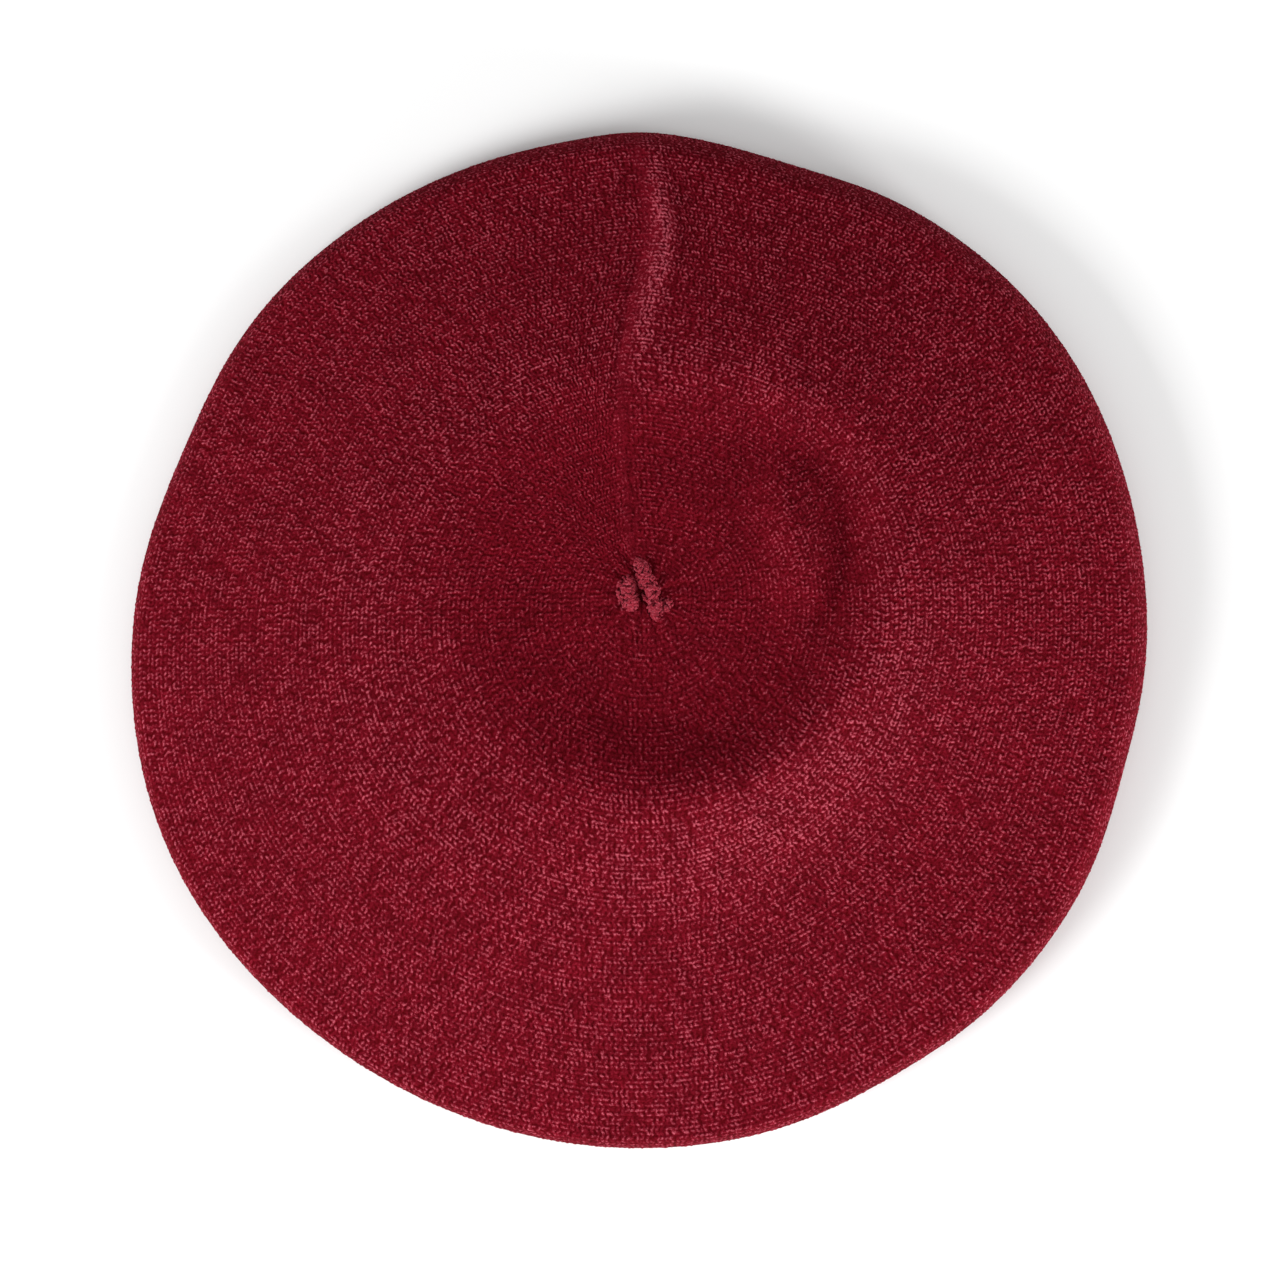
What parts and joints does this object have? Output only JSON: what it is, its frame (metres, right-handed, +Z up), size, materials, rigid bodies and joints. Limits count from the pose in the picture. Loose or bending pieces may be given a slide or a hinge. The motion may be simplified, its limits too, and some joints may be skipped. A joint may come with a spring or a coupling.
{
  "type": "beret",
  "caption": "Round burgundy knitted beret lying crown up, with a sunken centre, one radial seam, a folded headband and an inside label that flaps.",
  "frame": {"origin": "centre of the head opening, in the plane of the headband's lower edge, which rests on the table", "axes": "+Z up through the crown; -Y the front, +Y the back, where the radial seam runs; +X the right side seen from above with the back away from the viewer"},
  "size_m": [0.28, 0.28, 0.0341],
  "materials": {
    "body_knit": "matte",
    "band_knit": "matte",
    "body_yarn": "matte",
    "seam_yarn": "matte",
    "elastic": "matte",
    "woven_label": "satin",
    "care_ribbon": "satin",
    "label_thread": "satin"
  },
  "bodies": {
    "hat": {"crown_top": "body_knit", "crown_underside": "body_knit", "headband": "band_knit", "band_elastic": "elastic", "band_join_yarn": "seam_yarn", "band_seam_yarn": "seam_yarn", "back_seam_yarn": "seam_yarn", "closing_yarn": "body_yarn", "draw_yarn_ring": "seam_yarn", "maker_label": "woven_label", "maker_label_stitches": "label_thread", "care_label_stitches": "label_thread"},
    "label_flap": {"care_label": "care_ribbon"}
  },
  "joints": [
    {"name": "care_label_flap", "type": "hinge", "parent": "hat", "child": "label_flap", "pos_m": [0.0008, 0.035, 0.0262], "axis": [0, -1, 0], "range_deg": [0, 170]}
  ]
}
